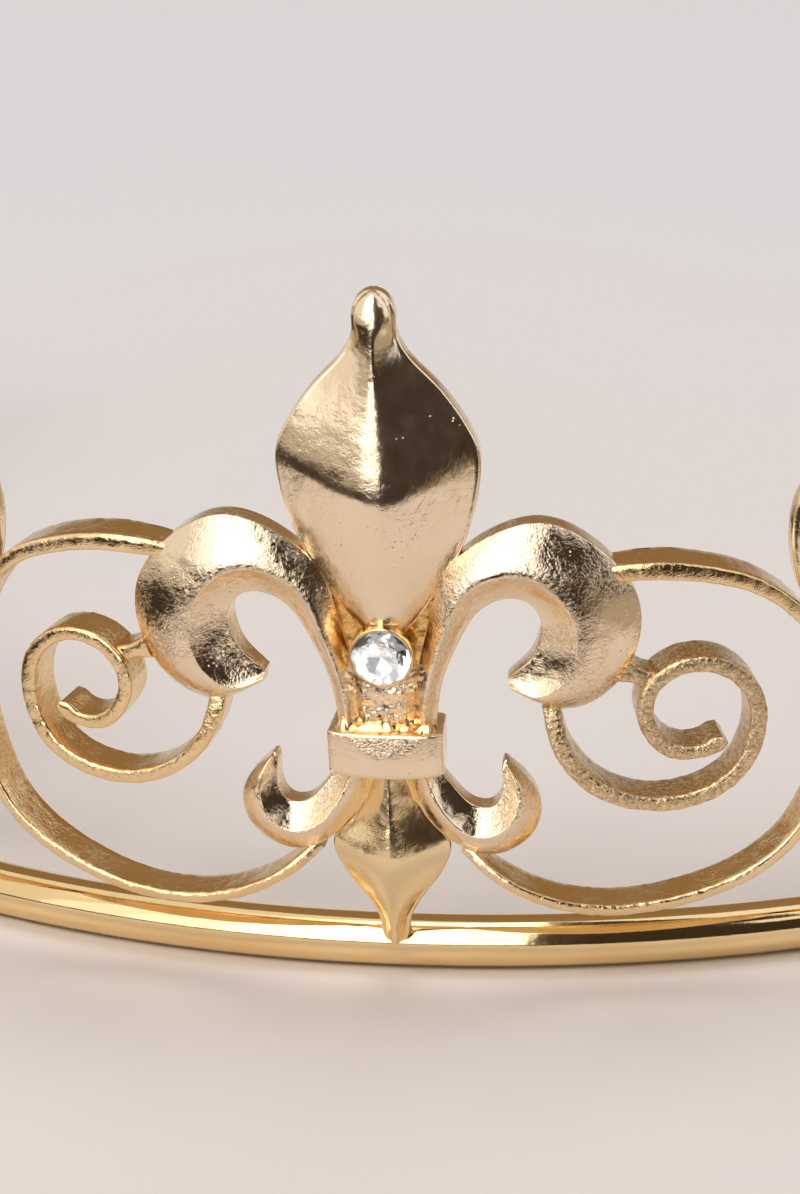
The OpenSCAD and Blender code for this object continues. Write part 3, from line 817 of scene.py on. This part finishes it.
build("tube_band", band_shell(), tube_gold, ["band"])
build("tube_end_right", end_shell(1), tube_gold, ["band_end_right"])
build("tube_end_left", end_shell(-1), tube_gold, ["band_end_left"])
beads = Shell()
for i in sorted(STATIONS.values()):
    bead = solder_shell(BEAD_SEED + i)
    bead.v = [turn(np.concatenate(bead.v), i * PITCH)]
    beads.add(bead)
build("solder", beads, solder_gold, ["solder_beads"])


# ---------------------------------------------------------------- floor, backdrop, reflectors
def sheet(name, points, faces, material):
    mesh = bpy.data.meshes.new(name)
    mesh.from_pydata(points, [], faces)
    mesh.shade_smooth()
    mesh.materials.append(material)
    o = bpy.data.objects.new(name, mesh)
    bpy.context.scene.collection.objects.link(o)
    return o


def paper_material():
    """Pale paper, a little warmer towards the front."""
    m, nt, bsdf = new_material("paper")
    coord = object_coordinates(nt)
    depth = spread(nt, along_axis(nt, coord, "Y"), -0.3, 0.3, 0.0, 1.0)
    cloud = tex(nt, "ShaderNodeTexNoise", 5, coord, Detail=2.0).outputs["Fac"]
    depth = math_node(nt, "ADD", depth, spread(nt, cloud, 0.3, 0.7, -0.12, 0.12))
    warm, middle, cool = (0.77, 0.69, 0.63), (0.76, 0.70, 0.665), (0.745, 0.72, 0.715)
    sweep = ramp(nt, depth, [(0.1, warm), (0.5, middle), (0.72, cool)])
    nt.links.new(sweep.outputs[0], bsdf.inputs["Base Color"])
    bsdf.inputs["Roughness"].default_value = 0.9
    bsdf.inputs["Specular IOR Level"].default_value = 0.0
    return m


def backdrop():
    """Floor that turns up into a wall behind the crown."""
    near, wide, bend, radius, tall = -5.0, 5.0, 4.2, 0.8, 1.6
    profile = [(near, 0.0), (0.0, 0.0), (bend, 0.0)]
    for t in np.linspace(0.06, math.pi / 2, 24):
        profile.append((bend + radius * math.sin(t), radius * (1 - math.cos(t))))
    profile.append((bend + radius, tall))
    pts = [(x, y, z) for y, z in profile for x in (-wide, wide)]
    quads = [(2 * i, 2 * i + 1, 2 * i + 3, 2 * i + 2) for i in range(len(profile) - 1)]
    sheet("backdrop", pts, quads, paper_material())


backdrop()

ARCH_Y = -0.075                     # middle of the crown's front arch
CARD_STEP = 6                       # degrees


def emitter(name, colour, strength):
    """Reflector card that gives the same light from both sides."""
    m = bpy.data.materials.new(name)
    m.use_nodes = True
    nt = m.node_tree
    nt.nodes.clear()
    out = nt.nodes.new("ShaderNodeOutputMaterial")
    em = nt.nodes.new("ShaderNodeEmission")
    em.inputs[0].default_value = (*colour, 1)
    em.inputs[1].default_value = strength
    nt.links.new(em.outputs[0], out.inputs[0])
    return m


def reflected_only(o):
    o.visible_camera = o.visible_diffuse = o.visible_shadow = False


def around(az, distance, y=ARCH_Y):
    a = math.radians(az)
    return distance * math.sin(a), y - distance * math.cos(a)


def azimuths(az0, az1):
    return np.linspace(az0, az1, max(2, int(abs(az1 - az0) / CARD_STEP)) + 1)


def sector(name, az0, az1, near, far, z, material, y=ARCH_Y):
    """Level part of a ring round the crown's front arch."""
    az = azimuths(az0, az1)
    pts = [(*around(a, r, y), z) for a in az for r in (near, far)]
    quads = [(2 * i, 2 * i + 1, 2 * i + 3, 2 * i + 2) for i in range(len(az) - 1)]
    reflected_only(sheet(name, pts, quads, material))


def wall(name, az0, az1, z0, z1, distance, material):
    """Upright curved screen round the crown's front arch."""
    az = azimuths(az0, az1)
    pts = [(*around(a, distance), z) for a in az for z in (z0, z1)]
    quads = [(2 * i, 2 * i + 2, 2 * i + 3, 2 * i + 1) for i in range(len(az) - 1)]
    reflected_only(sheet(name, pts, quads, material))


window = emitter("light_window", (1.0, 0.985, 0.96), 2.5)
glow = emitter("light_glow", (0.98, 0.93, 0.86), 1.25)
shine = emitter("light_shine", (1.0, 0.96, 0.91), 1.75)
pearl = emitter("light_pearl", (0.98, 0.96, 0.95), 0.95)
dusk = emitter("light_dusk", (0.042, 0.030, 0.021), 1.0)
haze = emitter("light_haze", (0.70, 0.68, 0.67), 0.8)
brown = emitter("light_brown", (0.27, 0.175, 0.09), 1.0)
sand = emitter("light_sand", (0.42, 0.35, 0.27), 1.0)
straw = emitter("light_straw", (0.64, 0.56, 0.46), 1.0)
pale = emitter("light_pale", (0.84, 0.78, 0.70), 1.0)
HIGH, ROUND_AT, BACK_AT, CARD_Z = 0.45, 0.40, 0.5, 0.0006
CEILING_R, CEILING_Y, FLOOR_FROM = 0.7, 0.05, 0.20

# cards on the floor: name, azimuths, near and far edge, tone
FLOOR_CARDS = (("dim_ring", -150, -31, 0.074, 0.20, dusk), ("dim_front", -31, 48, 0.064, 0.25, dusk),
               ("dim_near_left", -150, -75, 0.060, 0.074, dusk), ("dim_near", 9, 42, 0.050, 0.064, dusk),
               ("dim_side", 48, 150, 0.07, 0.23, sand))
# dark screens just inside the walls: name, azimuths, height, gap to the wall
SCREENS = (("skirting", -120, 115, 0.016, 0.002), ("dim_right", 42, 52, 0.30, 0.003),
           ("dim_side_high", 52, 70, 0.26, 0.003))
# walls with their part of the ceiling and of the floor: name, azimuths, tone above, tone below
BANDS = (("left", -120, -55, pale, straw), ("glow", -55, -43, glow, straw), ("shine", -43, -31, shine, straw),
         ("middle", -31, 9, window, window), ("dark", 9, 42, dusk, dusk), ("right", 42, 115, pearl, dusk))
for tag, az0, az1, near, far, tone in FLOOR_CARDS:
    sector(tag, az0, az1, near, far, CARD_Z, tone)
for tag, az0, az1, tall, gap in SCREENS:
    wall(tag, az0, az1, 0.0, tall, ROUND_AT - gap, dusk)
for tag, az0, az1, above, below in BANDS:
    sector("low_" + tag, az0, az1, FLOOR_FROM, ROUND_AT, CARD_Z - 0.0002, below)
    wall("wall_" + tag, az0, az1, 0.0, HIGH, ROUND_AT, above)
    sector("high_" + tag, az0, az1, 0.0, CEILING_R, HIGH, above, CEILING_Y)
wall("wall_back", 115, 240, 0.0, 0.10, BACK_AT, haze)
wall("wall_back_top", 115, 240, 0.10, HIGH, BACK_AT, brown)
sector("high_back", 115, 240, 0.0, CEILING_R, HIGH, brown, CEILING_Y)

world = bpy.data.worlds.new("studio")
bpy.context.scene.world = world
world.use_nodes = True
sky = world.node_tree.nodes["Background"]
sky.inputs[0].default_value = (0.86, 0.84, 0.85, 1)
sky.inputs[1].default_value = 0.45


def area(name, location, target, size, power, colour):
    """Soft light that the camera doesn't see."""
    light = bpy.data.lights.new(name, "AREA")
    light.shape = "RECTANGLE"
    light.size, light.size_y = size
    light.energy = power
    light.color = colour
    o = bpy.data.objects.new(name, light)
    o.location = location
    o.rotation_euler = (Vector(target) - Vector(location)).to_track_quat("-Z", "Y").to_euler()
    bpy.context.scene.collection.objects.link(o)
    o.visible_camera = False


area("key", (-0.45, -0.75, 0.95), (0, -0.03, 0.02), (0.7, 0.5), 6.5, (1, 0.99, 0.98))
area("top", (0.1, 0.3, 1.05), (0, 0.2, 0), (0.9, 0.7), 4.8, (1, 0.99, 0.99))

# ---------------------------------------------------------------- camera
AZ, EL, ROLL = math.radians(8.37), math.radians(19.52), math.radians(1.12)
REACH, LENS, SENSOR = 0.458, 280.6, 36
target = Vector((0.0004, -BAND_R * MM, 0.02915))
away = Vector((math.sin(AZ) * math.cos(EL), -math.cos(AZ) * math.cos(EL), math.sin(EL)))
level = (-away).cross(Vector((0, 0, 1))).normalized()
upright = level.cross(-away)
right = math.cos(ROLL) * level - math.sin(ROLL) * upright
up = math.cos(ROLL) * upright + math.sin(ROLL) * level
lens = bpy.data.cameras.new("camera")
lens.sensor_fit = "HORIZONTAL"
lens.sensor_width = SENSOR
lens.lens = LENS
lens.clip_start, lens.clip_end = 0.01, 10
camera = bpy.data.objects.new("camera", lens)
placing = Matrix((right, up, away)).transposed().to_4x4()
placing.translation = target + away * REACH
camera.matrix_world = placing
bpy.context.scene.collection.objects.link(camera)
bpy.context.scene.camera = camera
bpy.context.scene.view_settings.view_transform = "Standard"

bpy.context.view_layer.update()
